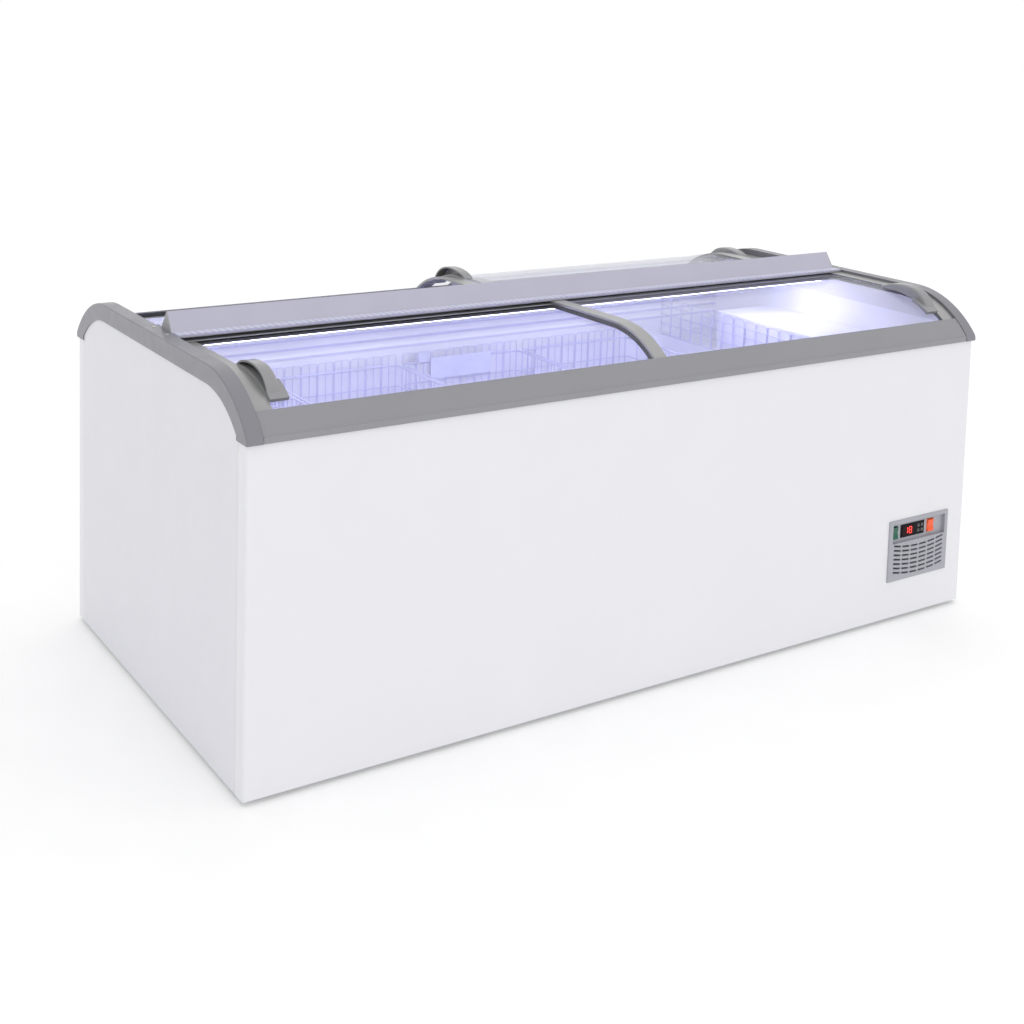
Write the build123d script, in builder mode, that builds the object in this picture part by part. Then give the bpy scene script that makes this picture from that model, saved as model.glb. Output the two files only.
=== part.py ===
from build123d import *
import os
from math import cos, radians, sin

# Island chest freezer with a central ridge and four curved sliding glass lids.
# Millimetres. +X runs along the cabinet, +Y from front to rear, +Z up.
# The origin is on the floor, below the centre of the cabinet.

# ---- driving dimensions ----
LENGTH = 2000            # over the end caps
DEPTH = 1040             # over the front and rear rails
BODY_LENGTH = 1994       # over the end panels
BODY_DEPTH = 1022        # over the front and rear panels
FOOT_HEIGHT = 10         # floor to the underside of the cabinet
RIM_Z = 703              # top of the painted panels, underside of the rails
TOP_Z = 816              # flat top of the end caps
APEX_Z = 857             # top of the central ridge
ARCH_RADIUS = 258        # curve of the end caps
ARCH_REACH = 205         # depth over which the cap curves down
CAP_WIDTH = 34           # end cap along X
CAP_BAND = 39            # height of the cap's band over the end panel
SHEET = 1                # painted steel
SKIN = 2                 # liner
LINER_TOP = 745
LEDGE_Z = 556            # ledge that the baskets hang on
LID_TRAVEL = 864         # how far each lid slides
RIDGE_END = 964          # ridge and lid run, each way from the middle

# ---- derived positions ----
CAP_IN = LENGTH / 2 - CAP_WIDTH
FACE_Y = DEPTH / 2
PANEL_X = BODY_LENGTH / 2
PANEL_Y = BODY_DEPTH / 2
ARCH_Y = FACE_Y - ARCH_REACH
ARCH_Z = TOP_Z - ARCH_RADIUS

# ---- inner tub ----
TUB_X = 937              # inner faces of the end walls
TUB_Y = 450              # inner faces above the ledge
LOW_Y = 432              # inner faces below the ledge
TUB_FLOOR = 80
STEP_X = 735             # left side of the raised step over the machine room
STEP_Z = 672             # top of the step
BACK_STEP_Y = 190        # where the step drops behind
BACK_STEP_Z = 560
TUB_CORNER = 30          # upright corners of the deep part

# ---- lids, measured down from the arch of the caps ----
UPPER_LID = 6
LOWER_LID = 16
LID_DEPTH = 6            # thickness of the lid frames
GLASS_INSET = 1          # glass below the frame's face
GLASS = 4
LID_END_ANGLE = 47       # how far the lids follow the arch down into the rails
RAIL_LIP_ANGLE = 39.5
LID_BACK_Y = 30          # lid edge nearest the ridge
STRIP = 40               # outer end strips
MEETING_STRIP = 35       # strips at the middle of the cabinet
GLASS_BITE = 10          # glass inside each strip
SEAL_WIDTH = 26          # edge profile beside the ridge

os.makedirs("parts", exist_ok=True)


def save(part, name):
    """Label one finished piece and write its STEP file."""
    part.label = name
    export_step(part, f"parts/{name}.step")


def arch_point(radius, angle):
    """A point of the front arch, its angle measured from straight up towards the front."""
    return (-ARCH_Y - radius * sin(radians(angle)), ARCH_Z + radius * cos(radians(angle)))


def arch_face(inner, outer, start, end):
    """A curved band of the front arch between two radii and two angles."""
    middle = (start + end) / 2
    with BuildLine() as outline_edges:
        ThreePointArc(arch_point(outer, start), arch_point(outer, middle), arch_point(outer, end))
        Line(arch_point(outer, end), arch_point(inner, end))
        ThreePointArc(arch_point(inner, end), arch_point(inner, middle), arch_point(inner, start))
        Line(arch_point(inner, start), arch_point(outer, start))
    make_face(outline_edges.edges())


def lid_face(outer_drop, inner_drop, end_angle, back_y):
    """A lid's side view: flat beside the ridge, then curving down towards the rail."""
    outer = ARCH_RADIUS - outer_drop
    inner = ARCH_RADIUS - inner_drop
    with BuildLine() as outline_edges:
        Line((-back_y, ARCH_Z + outer), (-ARCH_Y, ARCH_Z + outer))
        ThreePointArc(arch_point(outer, 0), arch_point(outer, end_angle / 2), arch_point(outer, end_angle))
        Line(arch_point(outer, end_angle), arch_point(inner, end_angle))
        ThreePointArc(arch_point(inner, end_angle), arch_point(inner, end_angle / 2), arch_point(inner, 0))
        Line((-ARCH_Y, ARCH_Z + inner), (-back_y, ARCH_Z + inner))
        Line((-back_y, ARCH_Z + inner), (-back_y, ARCH_Z + outer))
    make_face(outline_edges.edges())


def whole_arch(radius, side, bottom):
    """Outline over the whole depth: two upright sides, two curves and a flat top."""
    rise = (radius**2 - (side - ARCH_Y) ** 2) ** 0.5
    top = ARCH_Z + radius
    shoulder = ARCH_Z + rise
    middle = radius * sin(radians(25)), radius * cos(radians(25))
    with BuildLine() as outline_edges:
        Line((-side, bottom), (-side, shoulder))
        ThreePointArc((-side, shoulder), (-ARCH_Y - middle[0], ARCH_Z + middle[1]), (-ARCH_Y, top))
        Line((-ARCH_Y, top), (ARCH_Y, top))
        ThreePointArc((ARCH_Y, top), (ARCH_Y + middle[0], ARCH_Z + middle[1]), (side, shoulder))
        Line((side, shoulder), (side, bottom))
        Line((side, bottom), (-side, bottom))
    make_face(outline_edges.edges())


def turned(part, shift=0):
    """The same piece on the other side of the cabinet: half a turn about Z, then a shift along X."""
    with BuildPart() as copy:
        with Locations(Location((shift, 0, 0), (0, 0, 180))):
            add(part)
    return copy.part


def block(low, high, mode=Mode.ADD):
    """A box between two corners."""
    size = [b - a for a, b in zip(low, high)]
    middle = [(a + b) / 2 for a, b in zip(low, high)]
    with Locations(tuple(middle)):
        Box(*size, mode=mode)


# ---- cabinet shell ----

RETURN_DEPTH = 37        # how far the front and rear sheets wrap round the corners
CORNER = 5
PANEL_GAP = 1
CAP_ARCH_INSET = 50      # upright sides of the cap's inner arch, inside the rail faces
CONTROL_X = 832          # middle of the control panel
CONTROL_Z = 184
CONTROL_WIDTH = 214
CONTROL_HEIGHT = 158
CUTOUT_MARGIN = 9        # bezel border that lies on the sheet


REAR_GRILLE_X = 860      # machine grille in the rear panel
GRILLE_Z = 240
GRILLE_WIDTH = 200
GRILLE_HEIGHT = 300
GRILLE_LAP = 10          # border of the grille that lies on the sheet
INLET_X = 740            # cable inlet in the rear panel
INLET_Z = 60
INLET_RADIUS = 11


def wrapped_sheet(side):
    """A face sheet with a return round each corner: side -1 at the front, 1 at the rear."""
    with BuildPart() as sheet:
        with BuildSketch(Plane.XY.offset(FOOT_HEIGHT)) as outline:
            Rectangle(BODY_LENGTH, BODY_DEPTH)
            fillet(outline.vertices(), CORNER)
            with BuildSketch(mode=Mode.PRIVATE) as core:
                Rectangle(BODY_LENGTH - 2 * SHEET, BODY_DEPTH - 2 * SHEET)
                fillet(core.vertices(), CORNER - SHEET)
            add(core.sketch, mode=Mode.SUBTRACT)
            with Locations((0, -side * RETURN_DEPTH)):
                Rectangle(LENGTH, BODY_DEPTH, mode=Mode.SUBTRACT)
        extrude(amount=RIM_Z - FOOT_HEIGHT)
    return sheet.part


CUTOUT = (CONTROL_WIDTH - 2 * CUTOUT_MARGIN, CONTROL_HEIGHT - 2 * CUTOUT_MARGIN)
with BuildPart() as front_panel:
    add(wrapped_sheet(-1))
    with BuildSketch(Plane.XZ.offset(FACE_Y)):
        with Locations((CONTROL_X, CONTROL_Z)):
            Rectangle(*CUTOUT)
    extrude(amount=-RETURN_DEPTH, mode=Mode.SUBTRACT)
save(front_panel.part, "front_panel")

with BuildPart() as rear_panel:
    add(wrapped_sheet(1))
    with BuildSketch(Plane.XZ.offset(-FACE_Y)):
        with Locations((REAR_GRILLE_X, GRILLE_Z)):
            Rectangle(GRILLE_WIDTH - 2 * GRILLE_LAP, GRILLE_HEIGHT - 2 * GRILLE_LAP)
        with Locations((INLET_X, INLET_Z)):
            Circle(INLET_RADIUS)
    extrude(amount=RETURN_DEPTH, mode=Mode.SUBTRACT)
save(rear_panel.part, "rear_panel")


def end_panel(start):
    """A flat end sheet whose top edge follows the underside of the end cap."""
    edge = PANEL_Y - RETURN_DEPTH - PANEL_GAP
    outside = FACE_Y - edge
    with BuildPart() as sheet:
        with BuildSketch(Plane.YZ.offset(start)):
            whole_arch(ARCH_RADIUS - CAP_BAND, FACE_Y - CAP_ARCH_INSET, FOOT_HEIGHT)
            with Locations((0, (RIM_Z + FOOT_HEIGHT) / 2)):
                Rectangle(2 * edge, RIM_Z - FOOT_HEIGHT)
            with Locations((edge + outside / 2, RIM_Z / 2), (-edge - outside / 2, RIM_Z / 2)):
                Rectangle(outside, 2 * RIM_Z, mode=Mode.SUBTRACT)
        extrude(amount=SHEET)
    return sheet.part


save(end_panel(-PANEL_X), "left_end_panel")
save(end_panel(PANEL_X - SHEET), "right_end_panel")

PAN = 2                  # base pan sheet
INSIDE_X = PANEL_X - SHEET
INSIDE_Y = PANEL_Y - SHEET
PAN_TOP = FOOT_HEIGHT + PAN
with BuildPart() as base_pan:
    block((-INSIDE_X, -INSIDE_Y, FOOT_HEIGHT), (INSIDE_X, INSIDE_Y, PAN_TOP))
    fillet(base_pan.edges().filter_by(Axis.Z), CORNER - SHEET)
save(base_pan.part, "base_pan")

FOOT_RADIUS = 22
FOOT_IN_X = 90           # foot centres from the panel faces
FOOT_IN_Y = 80
with BuildPart() as levelling_feet:
    with BuildSketch(Plane.XY):
        with GridLocations(2 * (PANEL_X - FOOT_IN_X), 2 * (PANEL_Y - FOOT_IN_Y), 2, 2):
            Circle(FOOT_RADIUS)
    extrude(amount=FOOT_HEIGHT)
    chamfer(levelling_feet.faces().filter_by(Axis.Z).sort_by(Axis.Z)[0:4].edges(), 1.5)
save(levelling_feet.part, "levelling_feet")

# ---- inner tub, foam and cooling coil ----

RIB_FIRST_Z = 604
RIB_STEP = 24
RIB_COUNT = 5
RIB_HEIGHT = 7
RIB_DEPTH = 3
LOW_X = STEP_X - 8       # right wall of the deep part


def tall_corners(part):
    """The upright corners of the deep part of the tub."""
    return part.edges().filter_by(Axis.Z).filter_by(lambda edge: edge.length > 400)


def tub_space(grow, top):
    """The hollow of the tub, or its outer shape when grown by the skin."""
    block((-TUB_X - grow, -LOW_Y - grow, TUB_FLOOR - grow), (LOW_X + grow, LOW_Y + grow, LEDGE_Z + 1))
    block((-TUB_X - grow, -TUB_Y - grow, LEDGE_Z - grow), (STEP_X + grow, TUB_Y + grow, top))
    block((STEP_X - 1, -TUB_Y - grow, STEP_Z - grow), (TUB_X + grow, BACK_STEP_Y + grow, top))
    block((STEP_X - 1, BACK_STEP_Y - grow, BACK_STEP_Z - grow), (TUB_X + grow, TUB_Y + grow, top))


with BuildPart() as tub_hollow:
    tub_space(0, LINER_TOP + 1)
    fillet(tall_corners(tub_hollow), TUB_CORNER)

with BuildPart() as tub_outside:
    tub_space(SKIN, LINER_TOP)
    fillet(tall_corners(tub_outside), TUB_CORNER + SKIN)

with BuildPart() as liner:
    add(tub_outside.part)
    add(tub_hollow.part, mode=Mode.SUBTRACT)
    for rib in range(RIB_COUNT):
        rib_z = RIB_FIRST_Z + RIB_STEP * rib
        for side in (-1, 1):
            wall = sorted((side * (TUB_Y - RIB_DEPTH), side * (TUB_Y + 0.5)))
            rib_end = TUB_X if side > 0 or rib_z > STEP_Z else STEP_X
            block((-TUB_X, wall[0], rib_z), (rib_end, wall[1], rib_z + RIB_HEIGHT))
save(liner.part, "liner")

ROOM_X = 770             # left side of the machine room
ROOM_TOP = 635
ROOM_BACK_TOP = 523
COIL_RADIUS = 4
COIL_TURNS = 5
COIL_FIRST_Z = 160
COIL_PITCH = 80

coil_reach = SKIN + 2 * COIL_RADIUS
with BuildPart() as evaporator_tube:
    for turn in range(COIL_TURNS):
        with BuildSketch(Plane.XY.offset(COIL_FIRST_Z + COIL_PITCH * turn)) as loop:
            with Locations(((LOW_X - TUB_X) / 2, 0)):
                Rectangle(TUB_X + LOW_X + 2 * coil_reach, 2 * (LOW_Y + coil_reach))
                fillet(loop.vertices(), TUB_CORNER + coil_reach)
                with BuildSketch(mode=Mode.PRIVATE) as inner_loop:
                    Rectangle(TUB_X + LOW_X + 2 * SKIN + 2, 2 * (LOW_Y + SKIN) + 2)
                    fillet(inner_loop.vertices(), TUB_CORNER + SKIN)
                add(inner_loop.sketch, mode=Mode.SUBTRACT)
        extrude(amount=2 * COIL_RADIUS)
save(evaporator_tube.part, "evaporator_tube")

CONTROL_HOLLOW = (110, 45, 95, 275)   # half width, depth, underside and top behind the control panel
INLET_HOLLOW = (30, 30, 90)           # depth, underside and top behind the cable inlet
DRAIN_HOLLOW = 60                     # half width under the drain plug
ROOM_SPLIT_Y = BACK_STEP_Y - 10       # where the machine room's roof steps down

with BuildPart() as foam_core:
    block((-INSIDE_X, -INSIDE_Y, PAN_TOP), (INSIDE_X, INSIDE_Y, RIM_Z))
    block((-INSIDE_X, -ARCH_Y, RIM_Z - 1), (INSIDE_X, ARCH_Y, LINER_TOP))
    corners = foam_core.edges().filter_by(Axis.Z).filter_by(lambda edge: abs(edge.center().Y) > TUB_Y)
    fillet(corners, CORNER - SHEET)
    add(tub_outside.part, mode=Mode.SUBTRACT)
    block((ROOM_X, -FACE_Y, 0), (PANEL_X, ROOM_SPLIT_Y, ROOM_TOP), mode=Mode.SUBTRACT)
    block((ROOM_X, ROOM_SPLIT_Y - 1, 0), (PANEL_X, FACE_Y, ROOM_BACK_TOP), mode=Mode.SUBTRACT)
    block(
        (CONTROL_X - CONTROL_HOLLOW[0], -FACE_Y, CONTROL_HOLLOW[2]),
        (ROOM_X + 1, -INSIDE_Y + CONTROL_HOLLOW[1], CONTROL_HOLLOW[3]),
        mode=Mode.SUBTRACT,
    )
    block(
        (INLET_X - 2 * INLET_RADIUS, INSIDE_Y - INLET_HOLLOW[0], INLET_HOLLOW[1]),
        (ROOM_X + 1, FACE_Y, INLET_HOLLOW[2]),
        mode=Mode.SUBTRACT,
    )
    add(evaporator_tube.part, mode=Mode.SUBTRACT)
    block(
        (-TUB_X - 10, -DRAIN_HOLLOW, 0),
        (-TUB_X + DRAIN_HOLLOW, DRAIN_HOLLOW, TUB_FLOOR),
        mode=Mode.SUBTRACT,
    )
save(foam_core.part, "foam_core")

PLUG_RADIUS = 16
PLUG_HEIGHT = 4
with BuildPart() as drain_plug:
    with BuildSketch(Plane.XY.offset(TUB_FLOOR)):
        with Locations((-TUB_X + 40, 0)):
            Circle(PLUG_RADIUS)
    extrude(amount=PLUG_HEIGHT)
    fillet(drain_plug.faces().sort_by(Axis.Z)[-1].edges(), 1.5)
save(drain_plug.part, "drain_plug")

# ---- rails, end caps and side ledges ----

RAIL_DROP = 1.5          # rail face below the face of the caps
RAIL_WALL = 3
RAIL_END = CAP_IN - 1    # leaves a fine seam beside each cap


def front_rail():
    """Channel that holds the lower edges of both lids, in the shape of its cross-section."""
    outer = ARCH_RADIUS - RAIL_DROP
    face = FACE_Y - RAIL_DROP
    foot_angle = 52
    rail_foot = arch_point(outer, foot_angle)[1]
    web_out = ARCH_RADIUS - UPPER_LID - LID_DEPTH - 1
    inner_wall = TUB_Y + SKIN
    with BuildPart() as rail:
        with BuildSketch(Plane.YZ.offset(-RAIL_END)):
            arch_face(outer - RAIL_WALL, outer, RAIL_LIP_ANGLE, foot_angle)
            with Locations((-face + RAIL_WALL / 2, (RIM_Z + rail_foot) / 2)):
                Rectangle(RAIL_WALL, rail_foot - RIM_Z)
            with Locations((-(face + inner_wall) / 2, RIM_Z + RAIL_WALL / 2)):
                Rectangle(face - inner_wall, RAIL_WALL)
            with Locations((-inner_wall - RAIL_WALL / 2, (RIM_Z + LINER_TOP) / 2)):
                Rectangle(RAIL_WALL, LINER_TOP - RIM_Z)
            arch_face(web_out - 2, web_out, 41, 49)
            web_foot = arch_point(web_out - 1, 49)
            with Locations((web_foot[0] + 1, (RIM_Z + web_foot[1]) / 2 + 0.5)):
                Rectangle(2.4, web_foot[1] - RIM_Z + 1)
        extrude(amount=2 * RAIL_END)
    return rail.part


rail_piece = front_rail()
save(rail_piece, "front_rail")
save(turned(rail_piece), "rear_rail")

CAP_SKIN = 4
SHOULDER = 22            # softened corner where the cap's face turns into its arch
CROWN = 3                # rounded outer edge


def end_cap():
    """Arched moulding over the left end of the cabinet, open underneath."""
    with BuildPart() as cap:
        with BuildSketch(Plane.YZ.offset(-LENGTH / 2)) as outline:
            whole_arch(ARCH_RADIUS, FACE_Y, RIM_Z)
            on_face = outline.vertices().filter_by(lambda corner: abs(corner.X) > FACE_Y - 1)
            fillet(on_face.filter_by(lambda corner: corner.Y > RIM_Z + 5), SHOULDER)
        extrude(amount=CAP_WIDTH)
        outer_edges = cap.faces().sort_by(Axis.X)[0].edges()
        fillet(outer_edges.filter_by(lambda edge: edge.center().Z > RIM_Z + 4), CROWN)
        with BuildSketch(Plane.YZ.offset(-LENGTH / 2 - 1)):
            whole_arch(ARCH_RADIUS - CAP_BAND, FACE_Y - CAP_ARCH_INSET, RIM_Z - 10)
        extrude(amount=CAP_WIDTH + 2, mode=Mode.SUBTRACT)
        with BuildSketch(Plane.YZ.offset(-LENGTH / 2 + CAP_SKIN)):
            whole_arch(ARCH_RADIUS - CAP_SKIN, FACE_Y - CAP_SKIN, RIM_Z + CAP_SKIN)
        extrude(amount=CAP_WIDTH - 2 * CAP_SKIN, mode=Mode.SUBTRACT)
    return cap.part


cap_piece = end_cap()
save(cap_piece, "left_end_cap")
save(turned(cap_piece), "right_end_cap")

LEDGE_DROP = UPPER_LID + LID_DEPTH + 4 + LID_DEPTH + 3
ledge_radius = ARCH_RADIUS - LEDGE_DROP
ledge_end = ARCH_Y + (ledge_radius**2 - (LINER_TOP - ARCH_Z) ** 2) ** 0.5
ledge_middle = arch_point(ledge_radius, 18)
with BuildPart() as side_ledges:
    for start in (-CAP_IN, TUB_X):
        with BuildSketch(Plane.YZ.offset(start)):
            with BuildLine():
                Line((-ledge_end, LINER_TOP), (ledge_end, LINER_TOP))
                for side in (-1, 1):
                    ThreePointArc(
                        (side * ledge_end, LINER_TOP),
                        (side * -ledge_middle[0], ledge_middle[1]),
                        (side * ARCH_Y, ARCH_Z + ledge_radius),
                    )
                Line((-ARCH_Y, ARCH_Z + ledge_radius), (ARCH_Y, ARCH_Z + ledge_radius))
            make_face()
        extrude(amount=CAP_IN - TUB_X)
save(side_ledges.part, "side_ledges")

SCREW_RADIUS = 4
SCREW_HEIGHT = 1.6
SCREW_IN = 22            # from the cabinet's end
SCREW_Y = 40
with BuildPart() as cap_screws:
    for screw_x in (-LENGTH / 2 + SCREW_IN, LENGTH / 2 - SCREW_IN):
        for screw_y in (-SCREW_Y, SCREW_Y):
            with BuildSketch(Plane.XY.offset(TOP_Z)):
                with Locations((screw_x, screw_y)):
                    Circle(SCREW_RADIUS)
            extrude(amount=SCREW_HEIGHT)
    fillet(cap_screws.faces().filter_by(Axis.Z).group_by(Axis.Z)[-1].edges(), 1)
save(cap_screws.part, "cap_screws")

# ---- central ridge, tracks and lighting ----

RIDGE_HALF = 30          # half width of the triangle
RIDGE_BASE = 815
FLANGE_Y = 64            # half width of the flange over the tracks
FLANGE = 3
RIDGE_WALL = 6           # measured along Y
TRACK_FOOT = ARCH_Z + ledge_radius
TRACK_IN = 22

with BuildPart() as ridge_beam:
    with BuildSketch(Plane.YZ.offset(-RIDGE_END)):
        with BuildLine():
            Polyline((-RIDGE_HALF, RIDGE_BASE), (0, APEX_Z), (RIDGE_HALF, RIDGE_BASE), close=True)
        make_face()
        with BuildLine():
            Polyline(
                (-RIDGE_HALF + RIDGE_WALL, RIDGE_BASE + 2),
                (0, APEX_Z - RIDGE_WALL),
                (RIDGE_HALF - RIDGE_WALL, RIDGE_BASE + 2),
                close=True,
            )
        make_face(mode=Mode.SUBTRACT)
        with Locations((0, RIDGE_BASE - FLANGE / 2 + 0.5)):
            Rectangle(2 * FLANGE_Y, FLANGE)
        with Locations((0, (TRACK_FOOT + RIDGE_BASE - FLANGE) / 2 + 0.5)):
            Rectangle(2 * TRACK_IN, RIDGE_BASE - FLANGE - TRACK_FOOT + 1)
            Rectangle(2 * TRACK_IN - 5, RIDGE_BASE - FLANGE - TRACK_FOOT - 4, mode=Mode.SUBTRACT)
    extrude(amount=2 * RIDGE_END)
save(ridge_beam.part, "ridge_beam")

with BuildPart() as ridge_plugs:
    for start in (-CAP_IN, RIDGE_END):
        with BuildSketch(Plane.YZ.offset(start)) as plug:
            with BuildLine():
                Polyline((-RIDGE_HALF, RIDGE_BASE), (0, APEX_Z), (RIDGE_HALF, RIDGE_BASE), close=True)
            make_face()
        extrude(amount=CAP_IN - RIDGE_END)
save(ridge_plugs.part, "ridge_plugs")

UNDER_FLANGE = RIDGE_BASE - FLANGE + 0.5
upper_under = TOP_Z - UPPER_LID - LID_DEPTH
lower_top = TOP_Z - LOWER_LID


def front_track():
    """E-shaped guide for the ridge edges of the upper and the lower lid."""
    with BuildPart() as track:
        with BuildSketch(Plane.YZ.offset(-RIDGE_END)):
            width = FLANGE_Y - TRACK_IN
            middle = -(FLANGE_Y + TRACK_IN) / 2
            with Locations((middle, TRACK_FOOT + 1)):
                Rectangle(width, 2)
            with Locations((middle, (upper_under + lower_top) / 2)):
                Rectangle(width, 2)
            with Locations((middle, UNDER_FLANGE - 1)):
                Rectangle(width, 1.5)
            with Locations((-TRACK_IN - 1.5, (TRACK_FOOT + UNDER_FLANGE) / 2)):
                Rectangle(3, UNDER_FLANGE - TRACK_FOOT - 0.5)
        extrude(amount=2 * RIDGE_END)
    return track.part


track_piece = front_track()
save(track_piece, "front_track")
save(turned(track_piece), "rear_track")

STRIP_Y = 43             # LED strips under the tracks
STRIP_END = 900
with BuildPart() as led_strips:
    for side in (-1, 1):
        block(
            (-STRIP_END, side * STRIP_Y - 8, TRACK_FOOT - 4),
            (STRIP_END, side * STRIP_Y + 8, TRACK_FOOT),
        )
save(led_strips.part, "led_strips")

COVER_Y = 47.5           # frosted covers on the flange
COVER_HALF = 13.5
COVER_Z = RIDGE_BASE + 0.5
with BuildPart() as light_covers:
    for side in (-1, 1):
        block(
            (-RIDGE_END + 2, side * COVER_Y - COVER_HALF, COVER_Z),
            (RIDGE_END - 2, side * COVER_Y + COVER_HALF, COVER_Z + 2),
        )
save(light_covers.part, "light_covers")

# ---- sliding lids ----

HANDLE_WIDTH = 28
HANDLE_WALL = 4
HANDLE_GAP = 0.2         # bond between the grip and the pane
HOLLOW_TRIM = 2.5        # the hollow stops this angle short of the heel and the toe
HANDLE_EDGE = 6          # rounding of the closed side
HEEL_ANGLE = -8          # where the grip starts, measured round the arch
TOE_ANGLE = 31
HOOD = ((-4, 10), (3, 18), (10, 23.5), (17, 26), (23, 22), (28, 12))   # angle and height over the lid
TAB_START_ANGLE = 20
TAB_END_ANGLE = 33
TAB_REACH = 40           # how far the tab reaches over the glass
TAB_HEIGHT = 8
LID_OVERLAP = 17         # each lid's reach past the middle of the cabinet


def lid_glass(drop, left, right):
    """The curved pane."""
    with BuildPart() as pane:
        with BuildSketch(Plane.YZ.offset(left)):
            lid_face(drop + GLASS_INSET, drop + GLASS_INSET + GLASS, LID_END_ANGLE - 1, LID_BACK_Y + 4)
        extrude(amount=right - left)
    return pane.part


def lid_strips(drop, left, right, left_width, right_width, glass):
    """The two curved end strips, grooved for the pane."""
    with BuildPart() as strips:
        for start, width in ((left, left_width), (right - right_width, right_width)):
            with BuildSketch(Plane.YZ.offset(start)):
                lid_face(drop, drop + LID_DEPTH, LID_END_ANGLE, LID_BACK_Y)
            extrude(amount=width)
        add(glass, mode=Mode.SUBTRACT)
    return strips.part


def lid_seals(drop, left, right, glass):
    """The edge profiles beside the ridge and inside the rail, grooved for the pane."""
    level = TOP_Z - drop - LID_DEPTH / 2
    with BuildPart() as seals:
        block(
            (left, -LID_BACK_Y - SEAL_WIDTH, level - LID_DEPTH / 2),
            (right, -LID_BACK_Y, level + LID_DEPTH / 2),
        )
        with BuildSketch(Plane.YZ.offset(left)):
            arch_face(ARCH_RADIUS - drop - LID_DEPTH, ARCH_RADIUS - drop, LID_END_ANGLE - 4, LID_END_ANGLE)
        extrude(amount=right - left)
        add(glass, mode=Mode.SUBTRACT)
    return seals.part


def over_lid(radius, angle):
    """A point over the lid: round the arch, or along the flat part at angles below zero."""
    if angle < 0:
        return (-ARCH_Y - radius * radians(angle), ARCH_Z + radius)
    return arch_point(radius, angle)


def hood_face(base, hollow=False):
    """Side view of the grip's hood, or of the hollow inside it."""
    wall = HANDLE_WALL if hollow else 0
    trim = HOLLOW_TRIM if hollow else 0
    crest = HOOD[1:-1] if hollow else HOOD
    foot = base + wall
    heel = over_lid(foot, HEEL_ANGLE + trim)
    flat_end = over_lid(foot, 0)
    toe = over_lid(foot, TOE_ANGLE - trim)
    crest_points = [over_lid(base + height - wall, angle) for angle, height in crest]
    with BuildLine() as outline_edges:
        Line(heel, flat_end)
        ThreePointArc(flat_end, over_lid(foot, TOE_ANGLE / 2), toe)
        Spline(toe, *reversed(crest_points), heel)
    make_face(outline_edges.edges())


def lid_handle(drop, outer_edge, inward):
    """Hooded grip on the pane beside the outer strip, open towards the cabinet's end, with a tab."""
    base = ARCH_RADIUS - drop - GLASS_INSET + HANDLE_GAP
    start = outer_edge + inward * STRIP
    with BuildPart() as handle:
        with BuildSketch(Plane.YZ.offset(start)):
            hood_face(base)
        extrude(amount=inward * HANDLE_WIDTH)
        closed_side = handle.faces().sort_by(Axis.X)[-1 if inward > 0 else 0]
        upper_edge = closed_side.edges().sort_by(Axis.Z)[-1]
        fillet(upper_edge, HANDLE_EDGE)
        with BuildSketch(Plane.YZ.offset(start)):
            arch_face(base, base + TAB_HEIGHT, TAB_START_ANGLE, TAB_END_ANGLE)
        extrude(amount=inward * TAB_REACH)
        with BuildSketch(Plane.YZ.offset(start - inward)):
            hood_face(base, hollow=True)
        extrude(amount=inward * (HANDLE_WIDTH - HANDLE_WALL + 1), mode=Mode.SUBTRACT)
    return handle.part


def build_lid(name, drop, outer_is_left, shift, rear):
    """All pieces of one lid, built at the front and turned to the rear when it belongs there."""
    if outer_is_left:
        left, right = -RIDGE_END, LID_OVERLAP
        widths = STRIP, MEETING_STRIP
        handle = lid_handle(drop, left, 1)
    else:
        left, right = -LID_OVERLAP, RIDGE_END
        widths = MEETING_STRIP, STRIP
        handle = lid_handle(drop, right, -1)
    glass = lid_glass(drop, left + widths[0] - GLASS_BITE, right - widths[1] + GLASS_BITE)
    strips = lid_strips(drop, left, right, *widths, glass)
    seals = lid_seals(drop, left + widths[0], right - widths[1], glass)
    pieces = {"glass": glass, "end_strips": strips, "edge_seals": seals, "handle": handle}
    for suffix, piece in pieces.items():
        placed = turned(piece, shift) if rear else piece
        save(placed, f"{name}_{suffix}")


build_lid("front_lower", LOWER_LID, True, 0, False)
build_lid("front_upper", UPPER_LID, False, 0, False)
build_lid("rear_lower", LOWER_LID, True, 0, True)
build_lid("rear_upper", UPPER_LID, False, LID_TRAVEL, True)

# ---- hanging baskets and the guard beside the step ----

BASKETS = 4
BASKET_PITCH = 383
BASKET_GAP = 8
BASKET_Y = 426
BASKET_RIM_Y = 446
BASKET_RIM_Z = 565
BASKET_TOP = 593
BASKET_DEPTH = 300
WIRE = 5


def basket(index):
    """Open-topped wire basket as a thin-walled bin with a rim that hangs on the ledge."""
    left = -TUB_X + BASKET_PITCH * index + BASKET_GAP / 2
    right = left + BASKET_PITCH - BASKET_GAP
    floor_z = BASKET_RIM_Z - BASKET_DEPTH
    middle = ((left + right) / 2, 0)
    with BuildPart() as bin_shape:
        with BuildSketch(Plane.XY.offset(floor_z)):
            with Locations(middle):
                RectangleRounded(right - left, 2 * BASKET_Y, TUB_CORNER)
        extrude(amount=BASKET_TOP - floor_z)
        for side in (-1, 1):
            rim = sorted((side * (BASKET_Y - 1), side * BASKET_RIM_Y))
            block((left + TUB_CORNER, rim[0], LEDGE_Z), (right - TUB_CORNER, rim[1], BASKET_RIM_Z))
        with BuildSketch(Plane.XY.offset(floor_z + WIRE)):
            with Locations(middle):
                RectangleRounded(right - left - 2 * WIRE, 2 * (BASKET_Y - WIRE), TUB_CORNER - WIRE)
        extrude(amount=BASKET_TOP - floor_z, mode=Mode.SUBTRACT)
    return bin_shape.part


for index in range(BASKETS):
    save(basket(index), f"basket_{index + 1}")

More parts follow.
